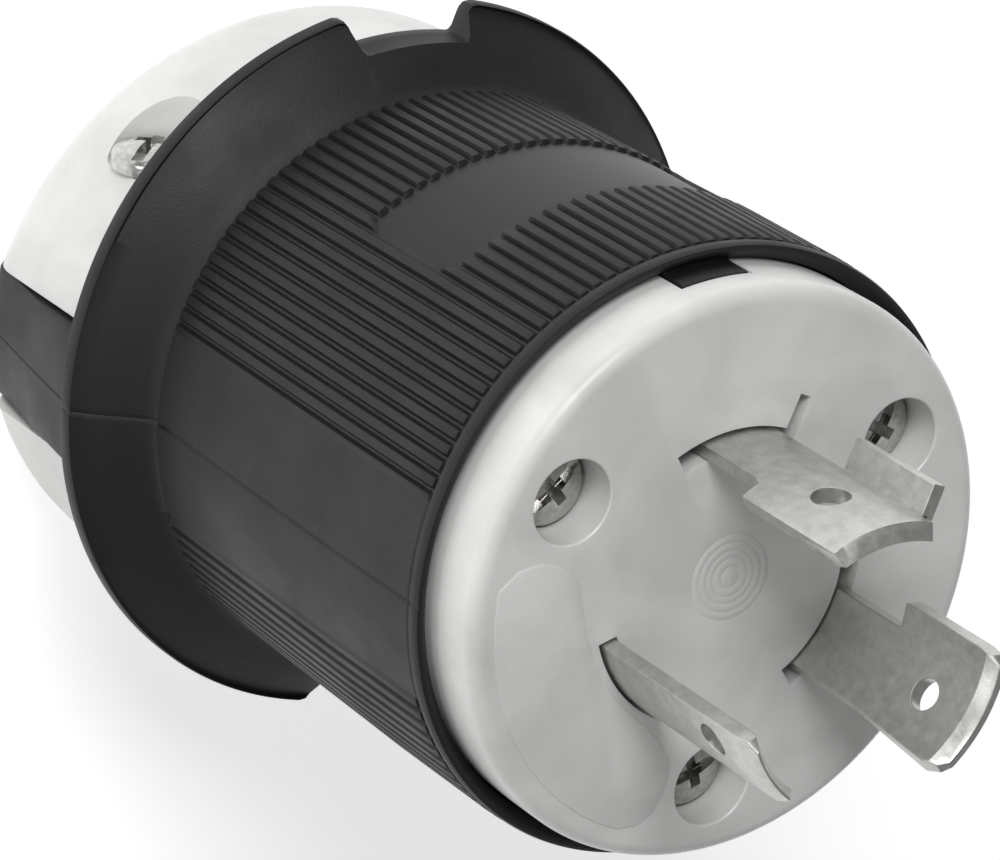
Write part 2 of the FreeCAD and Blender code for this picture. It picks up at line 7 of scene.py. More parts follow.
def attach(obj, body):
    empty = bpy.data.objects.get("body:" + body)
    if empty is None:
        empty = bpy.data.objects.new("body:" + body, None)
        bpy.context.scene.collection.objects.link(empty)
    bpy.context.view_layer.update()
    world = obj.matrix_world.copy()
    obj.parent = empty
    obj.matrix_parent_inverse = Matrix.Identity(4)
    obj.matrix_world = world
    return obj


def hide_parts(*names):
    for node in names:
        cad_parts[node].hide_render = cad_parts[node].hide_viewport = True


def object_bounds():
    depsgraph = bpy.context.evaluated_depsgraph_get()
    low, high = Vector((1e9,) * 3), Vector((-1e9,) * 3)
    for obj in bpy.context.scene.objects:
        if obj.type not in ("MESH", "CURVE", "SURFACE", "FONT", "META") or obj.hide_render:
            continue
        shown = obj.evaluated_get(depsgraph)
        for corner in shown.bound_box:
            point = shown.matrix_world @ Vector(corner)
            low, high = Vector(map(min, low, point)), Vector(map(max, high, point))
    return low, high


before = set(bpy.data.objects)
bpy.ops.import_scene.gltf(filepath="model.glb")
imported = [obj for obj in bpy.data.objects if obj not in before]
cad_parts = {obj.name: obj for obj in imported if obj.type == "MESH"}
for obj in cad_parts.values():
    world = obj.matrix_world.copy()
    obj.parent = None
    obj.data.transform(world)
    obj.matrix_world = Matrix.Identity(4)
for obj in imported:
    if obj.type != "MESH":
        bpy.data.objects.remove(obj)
cad_low, cad_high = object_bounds()

# ------------------------------------------------------------------------------- camera
# A long lens looks down on the plug from beside its label, and leans with it. The plug
# stands on its cord end, so the floor is behind it.
camera = bpy.data.objects.new("camera", bpy.data.cameras.new("camera"))
camera.data.sensor_width = 36
camera.data.lens = 203.46
camera.data.clip_start = 0.02
camera.data.clip_end = 20
camera.location = (-0.28124, 0.19964, 0.45370)
camera.rotation_euler = (-0.42579, -0.57361, 0.07887)
bpy.context.scene.collection.objects.link(camera)
bpy.context.scene.camera = camera

# --------------------------------------------------------------------------- grip shell
# The outer shell: one injection moulding in black nylon, with a thin oval flange, a
# ribbed grip, a sunk label panel, a smooth collar, a key and two arms for the clamp.
FLANGE_BACK, FLANGE_FRONT = 22.0, 24.0
FLANGE_HALF_WIDTH, FLANGE_HALF_HEIGHT = 35.5, 36.2
NOTCH_HALF_ANGLE, NOTCH_RADIUS = 10.5, 33.0
ROOT_RADIUS, ROOT_HEIGHT = 28.75, 29.2
RIB_PHASE = 90.5
SEAM_DEPTH = 0.14
SHELL_STEPS = 720
RIB_PITCH, RIB_HEIGHT = 3.0, 0.48
RIBS_LOW, RIBS_HIGH = 29.45, 74.6
PANEL_HALF_ANGLE = 19.0
LABEL_LOW, LABEL_HIGH = 45.3, 59.7
LABEL_START, LABEL_END = 53.7, 126.3
LABEL_RADIUS, LABEL_CORNER = 28.95, 2.0
BORE, CORD_HOLE, WEB_FRONT = 27.9, 14.5, 25.5
COLLAR_LOW = 74.8


def srgb(code):
    """An sRGB hex colour as linear red, green, blue and alpha."""
    values = [int(code[i:i + 2], 16) / 255 for i in (1, 3, 5)]
    return [v / 12.92 if v <= 0.04045 else ((v + 0.055) / 1.055) ** 2.4 for v in values] + [1.0]


def node(tree, kind, sockets=None, **settings):
    """One shader node with its settings, its socket values and its links."""
    item = tree.nodes.new("ShaderNode" + kind)
    for name, value in settings.items():
        setattr(item, name, value)
    for name, value in (sockets or {}).items():
        if isinstance(value, bpy.types.NodeSocket):
            tree.links.new(value, item.inputs[name])
        else:
            item.inputs[name].default_value = value
    return item


def finish(name, **sockets):
    """A new material with one Principled shader, and the tree to build on."""
    material = bpy.data.materials.new(name)
    material.use_nodes = True
    shader = material.node_tree.nodes["Principled BSDF"]
    for key, value in sockets.items():
        shader.inputs[key.replace("_", " ")].default_value = value
    return material, material.node_tree, shader


def ring_form(bm, outline, steps, degrees=360.0, start=0.0):
    """Turn a closed (radius, height) outline about the plug's axis."""
    corners = [bm.verts.new((radius, 0, height)) for radius, height in outline]
    edges = [bm.edges.new((corners[i], corners[(i + 1) % len(corners)])) for i in range(len(corners))]
    bmesh.ops.rotate(bm, verts=corners, cent=(0, 0, 0), matrix=Matrix.Rotation(math.radians(start), 3, "Z"))
    bmesh.ops.spin(bm, geom=corners + edges, cent=(0, 0, 0), axis=(0, 0, 1), dvec=(0, 0, 0),
                   angle=math.radians(degrees), steps=steps, use_merge=degrees == 360.0,
                   use_duplicate=False)


def settle(bm):
    """Merge doubles and point every face outwards."""
    bmesh.ops.remove_doubles(bm, verts=bm.verts, dist=1e-4)
    bmesh.ops.recalc_face_normals(bm, faces=bm.faces)


def to_mesh(form):
    """Store a form as a mesh and let the form go."""
    mesh = bpy.data.meshes.new("form")
    form.to_mesh(mesh)
    form.free()
    return mesh


def from_mesh(mesh):
    """Take a mesh back as a form and let the mesh go."""
    form = bmesh.new()
    form.from_mesh(mesh)
    bpy.data.meshes.remove(mesh)
    return form


def join(target, form):
    """Add one form to another."""
    mesh = to_mesh(form)
    target.from_mesh(mesh)
    bpy.data.meshes.remove(mesh)


def place_piece(name, bm, materials, body, nodes, smooth_below=32.0):
    """Turn a form in millimetres into a piece in metres that rides on its body."""
    bmesh.ops.scale(bm, vec=(0.001, 0.001, 0.001), verts=bm.verts)
    mesh = bpy.data.meshes.new(name)
    bm.to_mesh(mesh)
    bm.free()
    mesh.polygons.foreach_set("use_smooth", [True] * len(mesh.polygons))
    mesh.set_sharp_from_angle(angle=math.radians(smooth_below))
    for material in materials:
        mesh.materials.append(material)
    piece = bpy.data.objects.new(name, mesh)
    bpy.context.scene.collection.objects.link(piece)
    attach(piece, body)
    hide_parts(*nodes)


def between(value, points):
    """The height of a line through (x, y) points at x = value."""
    for (x0, y0), (x1, y1) in zip(points, points[1:]):
        if value <= x1:
            return y0 + (y1 - y0) * max(0.0, value - x0) / (x1 - x0)
    return points[-1][1]


CREST = [(29.0, 29.2), (47.0, 29.5), (60.0, 29.7), (74.7, 29.7)]
shell_outline = [
    (CORD_HOLE, FLANGE_BACK + 0.3), (CORD_HOLE + 0.3, FLANGE_BACK), (25.0, FLANGE_BACK),
    (35.05, FLANGE_BACK), (35.35, FLANGE_BACK + 0.1), (35.5, FLANGE_BACK + 0.4),
    (35.5, FLANGE_FRONT - 0.35), (35.38, FLANGE_FRONT - 0.08), (35.1, FLANGE_FRONT + 0.08),
    (33.6, 25.25), (32.0, 26.5), (30.6, 27.5), (29.6, 28.25), (29.05, 28.75), (ROOT_RADIUS, ROOT_HEIGHT),
]
grip_heights = [29.4, 29.5, 29.9, 33.0, 37.0, 41.0, 44.7, 45.15, 45.3, 45.45, 45.7, 46.05, 46.5, 47.1,
                49.0, 52.0, 55.0, 57.9, 58.5, 58.95, 59.3, 59.55, 59.7, 59.85, 60.3, 62.5, 66.0, 70.0,
                74.1, 74.5, 74.62]
shell_outline += [(ROOT_RADIUS, height) for height in grip_heights]
shell_outline += [
    (29.5, 74.85), (29.6, 75.2), (29.6, 75.9), (29.45, 76.25), (29.15, 76.4), (28.85, 76.3),
    (28.0, 75.2), (BORE, 74.8), (BORE, 60.0), (BORE, 40.0),
    (BORE, WEB_FRONT + 0.5), (BORE - 0.5, WEB_FRONT), (CORD_HOLE + 0.3, WEB_FRONT),
    (CORD_HOLE, WEB_FRONT - 0.3),
]
shell = bmesh.new()
ring_form(shell, shell_outline, SHELL_STEPS)
bmesh.ops.remove_doubles(shell, verts=shell.verts, dist=1e-4)


def rim_radius(angle):
    """The flange's edge: an oval with a notch at the top and at the bottom."""
    oval = 1 / math.hypot(math.cos(angle) / FLANGE_HALF_WIDTH, math.sin(angle) / FLANGE_HALF_HEIGHT)
    past_side = abs(abs(math.degrees(angle)) - 90) - NOTCH_HALF_ANGLE
    return between(past_side, [(-1.0, NOTCH_RADIUS), (-0.5, NOTCH_RADIUS + 0.15), (0.0, NOTCH_RADIUS + 0.6),
                               (0.5, oval - 0.75), (1.0, oval - 0.22), (2.0, oval)])


def label_inset(angle, height):
    """How far inside the label panel's rounded outline a point is, in millimetres."""
    middle, half_turn = (LABEL_START + LABEL_END) / 2, (LABEL_END - LABEL_START) / 2
    across = (half_turn - abs(angle - middle)) * math.radians(LABEL_RADIUS)
    along = (LABEL_HIGH - LABEL_LOW) / 2 - abs(height - (LABEL_LOW + LABEL_HIGH) / 2)
    if across >= LABEL_CORNER or along >= LABEL_CORNER:
        return min(across, along)
    return LABEL_CORNER - math.hypot(LABEL_CORNER - across, LABEL_CORNER - along)


for vert in shell.verts:
    x, y, z = vert.co
    radius, angle = math.hypot(x, y), math.atan2(y, x)
    degrees = math.degrees(angle)
    off_seam = min(abs(degrees), 180 - abs(degrees))
    flash = -SEAM_DEPTH if off_seam < 0.1 else 0.0
    if z < ROOT_HEIGHT and radius > ROOT_RADIUS:
        share = (radius - ROOT_RADIUS) / (FLANGE_HALF_WIDTH - ROOT_RADIUS)
        new = ROOT_RADIUS + share * (rim_radius(angle) - ROOT_RADIUS)
        if z > FLANGE_FRONT + 0.05:
            z += (radius - new) * 0.78 + flash
        radius = new + flash * (share > 0.9)
    elif z > ROOT_HEIGHT - 0.01 and radius > 28.5 and z < COLLAR_LOW:
        crest = between(z, CREST)
        if off_seam < PANEL_HALF_ANGLE:
            radius = crest - 0.12 + flash
            if z < 29.6:
                radius = ROOT_RADIUS + 0.1 + flash
        else:
            step = (degrees - RIB_PHASE) % RIB_PITCH
            on_rib = 0.9 < step < 2.6 and RIBS_LOW < z < RIBS_HIGH
            soft = 0.12 if z < 29.6 or z > 74.4 else 0.0
            radius = crest - soft - (0.0 if on_rib else RIB_HEIGHT - soft)
        inset = label_inset(degrees, z)
        if inset > 0:
            radius = LABEL_RADIUS
        elif inset > -0.3 and radius > crest - 0.1:
            radius = crest - 0.1
    elif z >= COLLAR_LOW and radius > 28.5:
        radius += flash
    vert.co = (radius * math.cos(angle), radius * math.sin(angle), z)

# The label panel's floor is polished along the mould, so it gets its own finish.
for face in shell.faces:
    middle = face.calc_center_median()
    angle, radius = math.degrees(math.atan2(middle.y, middle.x)), math.hypot(middle.x, middle.y)
    if radius > 28.3 and label_inset(angle, middle.z) > 0.1 and abs(radius - LABEL_RADIUS) < 0.12:
        face.material_index = 1

# Two arms run back from the flange beside the jaws. Each is a block with rounded edges,
# whose outer face is then bent to a cone, and the mould line crosses it as a fine groove.
ARM_INNER, ARM_HALF_WIDTH, ARM_BLOCK = 25.2, 6.7, 10.0
ARM_TIP, ARM_ROOT, ARM_TIP_ROUND = 31.4, 34.7, 2.2
ARM_HEIGHT = FLANGE_BACK + 0.6
for side in (-1, 1):
    arm = bmesh.new()
    bmesh.ops.create_cube(arm, size=1)
    bmesh.ops.scale(arm, vec=(ARM_BLOCK, 2 * ARM_HALF_WIDTH, ARM_HEIGHT), verts=arm.verts)
    bmesh.ops.translate(arm, vec=(ARM_INNER + ARM_BLOCK / 2, 0, ARM_HEIGHT / 2), verts=arm.verts)
    corner = [e for e in arm.edges if all(v.co.x > ARM_INNER + 1 and v.co.z < 1 for v in e.verts)]
    bmesh.ops.bevel(arm, geom=corner, offset=ARM_TIP_ROUND, segments=6, profile=0.5, affect="EDGES",
                    material=-1)
    sharp = [e for e in arm.edges if e.calc_face_angle() > 0.9 and any(v.co.z < FLANGE_BACK for v in e.verts)]
    bmesh.ops.bevel(arm, geom=sharp, offset=0.45, segments=2, profile=0.5, affect="EDGES", material=-1)
    planes = [((0, y, 0), (0, 1, 0)) for y in (-5, -4, -3, -2, -1, -0.14, 0, 0.14, 1, 2, 3, 4, 5)]
    planes += [((0, 0, height), (0, 0, 1)) for height in (3, 6, 10, 14, 18)]
    for point, normal in planes:
        bmesh.ops.bisect_plane(arm, geom=arm.verts[:] + arm.edges[:] + arm.faces[:], dist=1e-5,
                               plane_co=point, plane_no=normal)
    for vert in arm.verts:
        if vert.co.x > ARM_INNER + ARM_BLOCK / 2:
            reach = ARM_TIP + (ARM_ROOT - ARM_TIP) * min(1.0, vert.co.z / FLANGE_BACK)
            vert.co.x += math.sqrt(reach ** 2 - vert.co.y ** 2) - ARM_INNER - ARM_BLOCK
            vert.co.x -= SEAM_DEPTH * (abs(vert.co.y) < 0.05)
    if side < 0:
        bmesh.ops.rotate(arm, verts=arm.verts, cent=(0, 0, 0), matrix=Matrix.Rotation(math.pi, 3, "Z"))
    settle(arm)
    join(shell, arm)

# The key is a tab inside the collar that fixes the face's turn.
key = bmesh.new()
ring_form(key, [(26.35, 67.4), (28.2, 67.4), (28.2, 75.0), (27.85, 75.4), (27.8, 78.4), (26.35, 78.4)],
          10, degrees=14.7, start=86.0)
bmesh.ops.holes_fill(key, edges=[e for e in key.edges if e.is_boundary], sides=0)
settle(key)
bmesh.ops.bevel(key, geom=[e for e in key.edges if e.calc_face_angle() > 0.8], offset=0.22, segments=2,
                profile=0.5, affect="EDGES", material=-1, clamp_overlap=True)
join(shell, key)

# Black nylon from a finely eroded mould: satin, with a fine grain that breaks up the
# highlights. The real grain is about 0.1 mm; it is drawn at 0.22 mm so that it shows.
BLACK_GRAIN = 0.22
black_nylon, tree, shader = finish("black moulded nylon", Specular_IOR_Level=0.42)
place = node(tree, "TexCoord").outputs["Object"]
grain = node(tree, "TexNoise", {"Vector": place, "Scale": 1000 / BLACK_GRAIN, "Detail": 3.0,
                                "Roughness": 0.6})
cloud = node(tree, "TexNoise", {"Vector": place, "Scale": 120.0, "Detail": 4.0, "Roughness": 0.55})
tone = node(tree, "ValToRGB", {"Fac": grain.outputs["Fac"]})
tone.color_ramp.elements[0].position, tone.color_ramp.elements[0].color = 0.35, srgb("#0f0f0f")
tone.color_ramp.elements[1].position, tone.color_ramp.elements[1].color = 0.75, srgb("#1b1b1b")
tree.links.new(tone.outputs["Color"], shader.inputs["Base Color"])
matt = node(tree, "MapRange", {"Value": cloud.outputs["Fac"], "From Min": 0.3, "From Max": 0.7,
                               "To Min": 0.46, "To Max": 0.60})
tree.links.new(matt.outputs["Result"], shader.inputs["Roughness"])
bump = node(tree, "Bump", {"Height": grain.outputs["Fac"], "Strength": 0.5, "Distance": 0.00006})
tree.links.new(bump.outputs["Normal"], shader.inputs["Normal"])

# The same nylon where the mould insert was stoned: smoother, with fine streaks along
# the plug about 0.15 mm apart.
label_nylon, tree, shader = finish("stoned black nylon", Roughness=0.42, Specular_IOR_Level=0.35)
place = node(tree, "TexCoord").outputs["Object"]
along = node(tree, "Mapping", {"Vector": place, "Scale": (1.0, 1.0, 0.02)})
streak = node(tree, "TexNoise", {"Vector": along.outputs["Vector"], "Scale": 3600.0, "Detail": 2.0,
                                 "Roughness": 0.5})
tone = node(tree, "ValToRGB", {"Fac": streak.outputs["Fac"]})
tone.color_ramp.elements[0].position, tone.color_ramp.elements[0].color = 0.3, srgb("#0e0e0e")
tone.color_ramp.elements[1].position, tone.color_ramp.elements[1].color = 0.7, srgb("#181818")
tree.links.new(tone.outputs["Color"], shader.inputs["Base Color"])
bump = node(tree, "Bump", {"Height": streak.outputs["Fac"], "Strength": 0.35, "Distance": 0.00002})
tree.links.new(bump.outputs["Normal"], shader.inputs["Normal"])

bmesh.ops.recalc_face_normals(shell, faces=shell.faces)
place_piece("moulded_grip_shell", shell, [black_nylon, label_nylon], "plug_body",
            ["grip_shell"], smooth_below=28.0)

# --------------------------------------------------------------------------- front face
# The white face that carries the blades: one nylon moulding, a thick disc with a rounded
# edge, sunk wells for the three screws, blade slots, a key notch and faint mould rings.
FACE_BACK, FACE = 64.0, 82.1
DISC_RADIUS, DISC_ROUND = 27.7, 1.6
WELL_CIRCLE, WELL_RADIUS, WELL_FLOOR = 20.6, 4.05, 76.5
SCREW_ANGLES = {"left": 150.0, "right": 30.0, "bottom": -90.0}
BLADE_OUTER, BLADE_INNER = 14.16, 12.66


def cut_away(piece_mesh, cutters, operation="DIFFERENCE"):
    """Cut closed forms out of a mesh, or join them to it, exactly."""
    base = bpy.data.objects.new("blank", piece_mesh)
    bpy.context.scene.collection.objects.link(base)
    tools = []
    for cutter in cutters:
        settle(cutter)
        tool = bpy.data.objects.new("cutter", to_mesh(cutter))
        bpy.context.scene.collection.objects.link(tool)
        tools.append(tool)
        removal = base.modifiers.new("cut", "BOOLEAN")
        removal.operation, removal.solver, removal.object = operation, "EXACT", tool
    result = bpy.data.meshes.new_from_object(base.evaluated_get(bpy.context.evaluated_depsgraph_get()))
    for item in [base] + tools:
        old = item.data
        bpy.data.objects.remove(item)
        bpy.data.meshes.remove(old)
    return result


def disc_form(bm, outline, steps, axis=(0, 0, 1)):
    """Turn an open (radius, height) outline whose ends are on the axis."""
    corners = [bm.verts.new((radius, 0, height)) for radius, height in outline]
    edges = [bm.edges.new(pair) for pair in zip(corners, corners[1:])]
    bmesh.ops.spin(bm, geom=corners + edges, cent=(0, 0, 0), axis=axis, dvec=(0, 0, 0),
                   angle=math.tau, steps=steps, use_merge=True, use_duplicate=False)


def polar(radius, degrees, z=0.0):
    return Vector((radius * math.cos(math.radians(degrees)), radius * math.sin(math.radians(degrees)), z))


def slot_cutter(start, end, inner, outer, low, high):
    """A curved slot through the face between two angles."""
    cutter = bmesh.new()
    ring_form(cutter, [(inner, low), (outer, low), (outer, high), (inner, high)],
              max(4, round((end - start) / 2.5)), degrees=end - start, start=start)
    bmesh.ops.holes_fill(cutter, edges=[e for e in cutter.edges if e.is_boundary], sides=0)
    return cutter


face_outline = [(0, FACE_BACK), (DISC_RADIUS - 0.4, FACE_BACK), (DISC_RADIUS, FACE_BACK + 0.4),
                (DISC_RADIUS, FACE - DISC_ROUND)]
for step in range(1, 9):
    turn = math.radians(90 * step / 8)
    face_outline.append((DISC_RADIUS - DISC_ROUND + DISC_ROUND * math.cos(turn),
                         FACE - DISC_ROUND + DISC_ROUND * math.sin(turn)))
for radius in (4.2, 3.4, 2.6, 1.9, 1.0):
    face_outline += [(radius + 0.2, FACE), (radius, FACE - 0.07), (radius - 0.2, FACE)]
face_outline.append((0, FACE))
blank = bmesh.new()
disc_form(blank, face_outline, 192)
settle(blank)

cutters = []
for degrees in SCREW_ANGLES.values():
    well = bmesh.new()
    disc_form(well, [(0, FACE_BACK - 1), (2.25, FACE_BACK - 1), (2.25, WELL_FLOOR),
                     (WELL_RADIUS - 0.3, WELL_FLOOR), (WELL_RADIUS, WELL_FLOOR + 0.3),
                     (WELL_RADIUS, FACE - 0.12), (WELL_RADIUS + 0.3, FACE + 0.18), (0, FACE + 0.18)], 64)
    bmesh.ops.translate(well, vec=polar(WELL_CIRCLE, degrees), verts=well.verts)
    cutters.append(well)
slots = {"ground": (73.0, 118.5), "line_x": (-57.0, -3.2), "line_y": (-163.5, -114.0)}
for start, end in slots.values():
    cutters.append(slot_cutter(start, end, BLADE_INNER - 0.2, BLADE_OUTER + 0.3, FACE_BACK - 1, FACE + 1))
cutters.append(slot_cutter(65.9, 74.5, BLADE_INNER - 0.2, BLADE_OUTER + 0.3, FACE_BACK - 1, FACE + 1))
hook_way = bmesh.new()
bmesh.ops.create_cube(hook_way, size=1)
bmesh.ops.scale(hook_way, vec=(5.4, 1.3, FACE - FACE_BACK + 2), verts=hook_way.verts)
bmesh.ops.translate(hook_way, vec=(15.1, 0, (FACE + FACE_BACK) / 2), verts=hook_way.verts)
bmesh.ops.rotate(hook_way, verts=hook_way.verts, cent=(0, 0, 0),
                 matrix=Matrix.Rotation(math.radians(67.9), 3, "Z"))
cutters.append(hook_way)
cutters.append(slot_cutter(85.4, 101.3, 26.2, 29.0, 67.2, 78.55))
face_mesh = cut_away(to_mesh(blank), cutters)

# A raised kidney-shaped pad stands 0.12 mm proud of the face beside the lower left blade.
PAD_RISE, PAD_ROOT = 0.12, 0.2
pad = bmesh.new()
pad_outline = [(25.2, 173), (23.5, 168.5), (21.5, 166.5), (19.5, 166.5), (18.0, 168), (16.8, 172),
               (16.1, 180), (15.7, 190), (15.4, 200), (15.3, 210), (15.2, 220), (15.2, 230), (15.4, 238),
               (16.2, 246), (17.5, 252.5), (19.0, 254.5), (21.0, 254.8), (23.0, 253.6), (24.4, 250.5),
               (25.1, 246)] + [(25.2, degrees) for degrees in range(240, 173, -6)]
pad_corners = [pad.verts.new(polar(radius, degrees, FACE - PAD_ROOT)) for radius, degrees in pad_outline]
pad_face = pad.faces.new(pad_corners)
raised = bmesh.ops.extrude_face_region(pad, geom=[pad_face])
bmesh.ops.translate(pad, vec=(0, 0, PAD_ROOT + PAD_RISE),
                    verts=[v for v in raised["geom"] if isinstance(v, bmesh.types.BMVert)])
settle(pad)
bmesh.ops.bevel(pad, geom=[e for e in pad.edges if all(v.co.z > FACE for v in e.verts)], offset=0.08,
                segments=2, profile=0.5, affect="EDGES", material=-1)
face_mesh = cut_away(face_mesh, [pad], "UNION")

# Natural white nylon: slightly translucent, satin, with a slow cloudiness in its tone
# where the melt cooled unevenly.
white_nylon, tree, shader = finish("natural white nylon", Roughness=0.36, Subsurface_Weight=0.35,
                                   Subsurface_Scale=0.0015, Subsurface_Radius=(1.0, 0.9, 0.8))
place = node(tree, "TexCoord").outputs["Object"]
cloud = node(tree, "TexNoise", {"Vector": place, "Scale": 110.0, "Detail": 3.0, "Roughness": 0.55,
                                "Distortion": 0.6})
tone = node(tree, "ValToRGB", {"Fac": cloud.outputs["Fac"]})
tone.color_ramp.elements[0].position, tone.color_ramp.elements[0].color = 0.32, srgb("#d0d0ce")
tone.color_ramp.elements[1].position, tone.color_ramp.elements[1].color = 0.68, srgb("#dededc")
tree.links.new(tone.outputs["Color"], shader.inputs["Base Color"])
skin = node(tree, "TexNoise", {"Vector": place, "Scale": 2200.0, "Detail": 2.0})
bump = node(tree, "Bump", {"Height": skin.outputs["Fac"], "Strength": 0.15, "Distance": 0.00003})
tree.links.new(bump.outputs["Normal"], shader.inputs["Normal"])

place_piece("blade_face", from_mesh(face_mesh), [white_nylon], "plug_body", ["front_face"])

# ------------------------------------------------------------------------------- blades
# Three contact blades blanked from 1.5 mm brass strip, rolled to one circle and nickel
# plated. Each tip is chamfered, and the ground blade's edge is folded out as a hook.
BLADE_THICKNESS = BLADE_OUTER - BLADE_INNER
MID_RADIUS = BLADE_OUTER - BLADE_THICKNESS / 2
BLADE_ROOT = 50.0


def contact_blade(name, outline, hole, chamfers, hook=False):
    """A strip cut flat to an outline of (degrees, height), chamfered, then rolled."""
    arc = math.radians(MID_RADIUS)
    strip = bmesh.new()
    corners = [strip.verts.new((degrees * arc, 0, FACE + height)) for degrees, height in outline]
    edges = [strip.edges.new((corners[i], corners[(i + 1) % len(corners)])) for i in range(len(corners))]
    hole_degrees, hole_height, hole_radius = hole
    ring = bmesh.ops.create_circle(strip, segments=28, radius=hole_radius,
                                   matrix=Matrix.Translation((hole_degrees * arc, 0, FACE + hole_height))
                                   @ Matrix.Rotation(math.pi / 2, 4, "X"))
    edges += list({e for v in ring["verts"] for e in v.link_edges})
    bmesh.ops.triangle_fill(strip, edges=edges, use_beauty=True, use_dissolve=False)
    solid = bmesh.ops.extrude_face_region(strip, geom=strip.faces[:])
    moved = [v for v in solid["geom"] if isinstance(v, bmesh.types.BMVert)]
    bmesh.ops.translate(strip, vec=(0, BLADE_THICKNESS / 2, 0), verts=moved)
    rest = [v for v in strip.verts if v not in set(moved)]
    bmesh.ops.translate(strip, vec=(0, -BLADE_THICKNESS / 2, 0), verts=rest)
    settle(strip)
    for point, normal in chamfers:
        cut = bmesh.ops.bisect_plane(strip, geom=strip.verts[:] + strip.edges[:] + strip.faces[:],
                                     dist=1e-5, plane_co=point, plane_no=normal, clear_outer=True)
        rim = [e for e in cut["geom_cut"] if isinstance(e, bmesh.types.BMEdge)]
        bmesh.ops.triangle_fill(strip, edges=rim, use_beauty=True)
    settle(strip)
    sharp = [e for e in strip.edges if len(e.link_faces) == 2 and e.calc_face_angle() > 0.9]
    bmesh.ops.bevel(strip, geom=sharp, offset=0.13, segments=2, profile=0.5, affect="EDGES",
                    material=-1, clamp_overlap=True)
    low = min(v.co.x for v in strip.verts)
    high = max(v.co.x for v in strip.verts)
    cuts = math.ceil((high - low) / (2.0 * arc))
    for index in range(1, cuts):
        bmesh.ops.bisect_plane(strip, geom=strip.verts[:] + strip.edges[:] + strip.faces[:], dist=1e-5,
                               plane_co=(low + (high - low) * index / cuts, 0, 0), plane_no=(1, 0, 0))
    for vert in strip.verts:
        vert.co = polar(MID_RADIUS - vert.co.y, vert.co.x / arc, vert.co.z)
    if hook:
        fold = bmesh.new()
        bmesh.ops.create_cube(fold, size=1)
        bmesh.ops.scale(fold, vec=(4.6, 1.35, 11.5), verts=fold.verts)
        bmesh.ops.bevel(fold, geom=fold.edges[:], offset=0.16, segments=2, profile=0.5, affect="EDGES",
                        material=-1, clamp_overlap=True)
        bmesh.ops.translate(fold, vec=(14.8, 0, FACE + 15.35), verts=fold.verts)
        bmesh.ops.rotate(fold, verts=fold.verts, cent=(0, 0, 0),
                         matrix=Matrix.Rotation(math.radians(70.2), 3, "Z"))
        join(strip, fold)
    bmesh.ops.recalc_face_normals(strip, faces=strip.faces)
    place_piece(name, strip, [plated_blade], "plug_body",
                [name.replace("contact_", "") + "_blade"], smooth_below=20.0)


# Nickel plate over drawn strip: bright satin metal with fine lines along each blade,
# about 0.12 mm apart, and slow changes of gloss.
plated_blade, tree, shader = finish("nickel-plated brass strip", Metallic=1.0, Roughness=0.3)
place = node(tree, "TexCoord").outputs["Object"]
drawn = node(tree, "Mapping", {"Vector": place, "Scale": (1.0, 1.0, 0.06)})
lines = node(tree, "TexNoise", {"Vector": drawn.outputs["Vector"], "Scale": 5000.0, "Detail": 3.0,
                                "Roughness": 0.6})
speck = node(tree, "TexNoise", {"Vector": place, "Scale": 900.0, "Detail": 3.0, "Roughness": 0.6})
both = node(tree, "Math", {0: lines.outputs["Fac"], 1: speck.outputs["Fac"]}, operation="ADD")
tone = node(tree, "ValToRGB", {"Fac": speck.outputs["Fac"]})
tone.color_ramp.elements[0].position, tone.color_ramp.elements[0].color = 0.3, srgb("#bdbcb9")
tone.color_ramp.elements[1].position, tone.color_ramp.elements[1].color = 0.7, srgb("#d2d1ce")
tree.links.new(tone.outputs["Color"], shader.inputs["Base Color"])
gloss = node(tree, "MapRange", {"Value": both.outputs["Value"], "From Min": 0.7, "From Max": 1.3,
                                "To Min": 0.34, "To Max": 0.46})
tree.links.new(gloss.outputs["Result"], shader.inputs["Roughness"])
bump = node(tree, "Bump", {"Height": both.outputs["Value"], "Strength": 0.3, "Distance": 0.00003})
tree.links.new(bump.outputs["Normal"], shader.inputs["Normal"])

below = BLADE_ROOT - FACE
contact_blade("contact_ground",
              [(73.7, below), (107.5, below), (107.5, 8.0), (109.0, 9.0), (117.2, 9.2), (117.5, 9.6),
               (117.5, 22.9), (116.2, 23.9), (74.2, 23.9), (73.7, 23.4), (73.7, 21.1), (70.6, 21.1),
               (70.6, 9.6), (73.7, 9.6)],
              (96.0, 15.3, 1.75),
              [((0, -BLADE_THICKNESS / 2, FACE + 22.8), (0, -1.1, 1.9))], hook=True)
contact_blade("contact_line_x",
              [(-51.9, below), (-14.7, below), (-14.7, 9.4), (-14.0, 9.6), (-4.4, 9.6), (-3.6, 10.2),
               (-3.6, 20.6), (-4.6, 22.0), (-8.0, 22.8), (-50.0, 22.8), (-54.0, 22.2), (-56.4, 20.8),
               (-52.2, 9.6), (-51.9, 9.0)],
              (-32.8, 16.0, 1.6),
              [((0, BLADE_THICKNESS / 2, FACE + 21.5), (0, 1.4, 0.8))])
contact_blade("contact_line_y",
              [(-162.5, below), (-125.3, below), (-125.3, 20.0), (-127.0, 21.8), (-129.5, 22.7),
               (-157.5, 22.7), (-161.5, 21.8), (-162.5, 20.2)],
              (-151.2, 15.9, 1.6),
              [((0, BLADE_THICKNESS / 2, FACE + 21.5), (0, 1.4, 0.8)),
               ((0, -BLADE_THICKNESS / 2, FACE + 20.6), (0, -3.5, 1.0))])

# -------------------------------------------------------------------------- face screws
# The three long screws that hold the plug together: cold-headed steel, nickel plated,
# with pan heads and a cross recess over a slot.
SCREW_SEAT, HEAD_RADIUS, HEAD_HEIGHT = WELL_FLOOR, 3.9, 2.6


